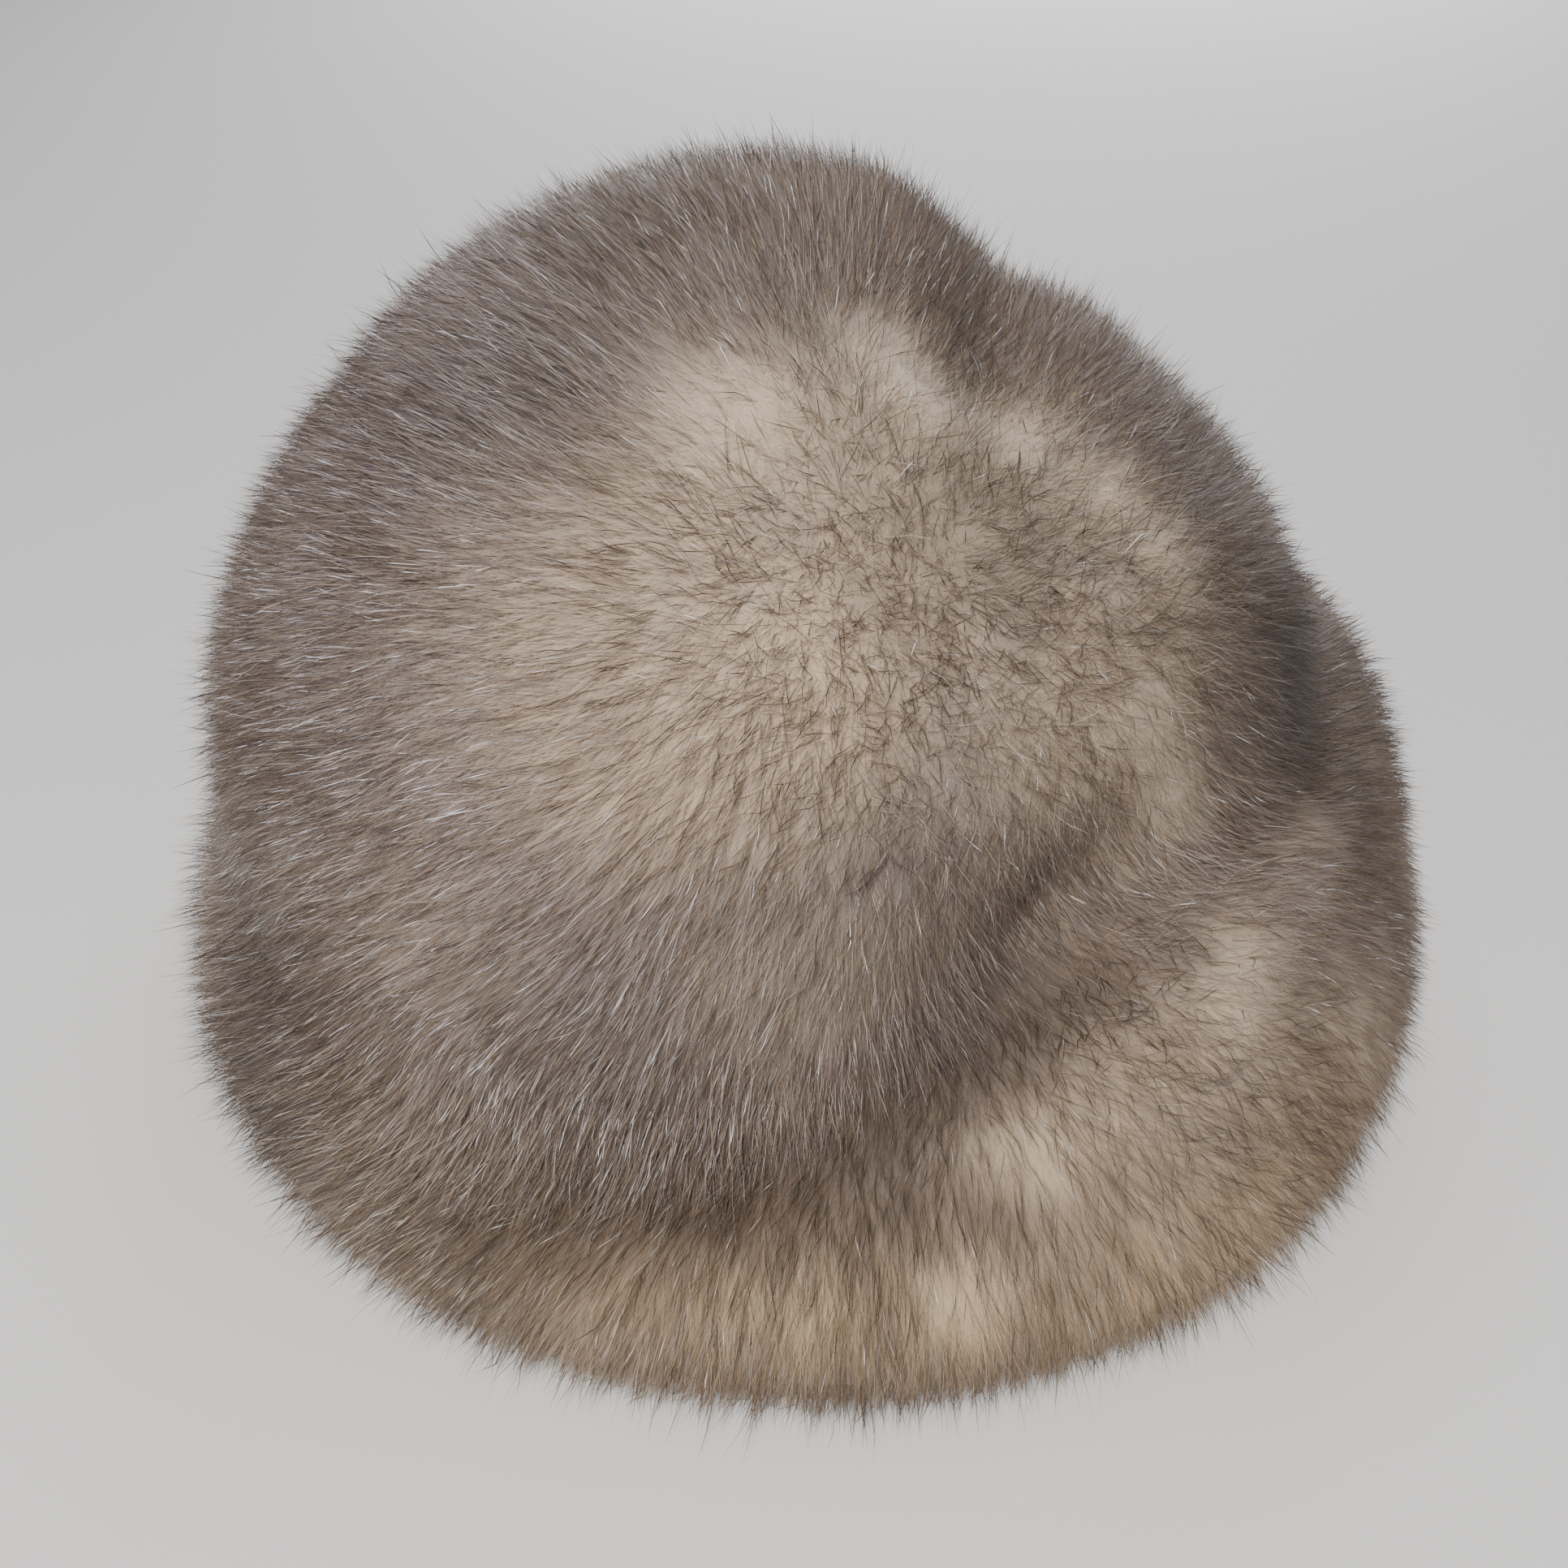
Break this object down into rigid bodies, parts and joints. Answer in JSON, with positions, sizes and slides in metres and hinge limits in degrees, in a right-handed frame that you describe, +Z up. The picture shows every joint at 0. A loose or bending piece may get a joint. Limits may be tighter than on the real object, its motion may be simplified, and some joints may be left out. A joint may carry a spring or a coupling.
{
  "type": "fur hat",
  "caption": "Soft long-haired fur hat in taupe and cream, a slouched hollow crown over a rolled fur brim, resting on its brim.",
  "frame": {"origin": "on the surface the hat rests on, under the middle of its bounding box", "axes": "+Z up, +Y away from the front, +X to the right seen from the front"},
  "size_m": [0.2614, 0.2618, 0.1613],
  "materials": {
    "fur": "soft, long glossy guard hair over pale underfur"
  },
  "bodies": {
    "root": {"crown": "fur", "brim": "fur"}
  },
  "joints": []
}
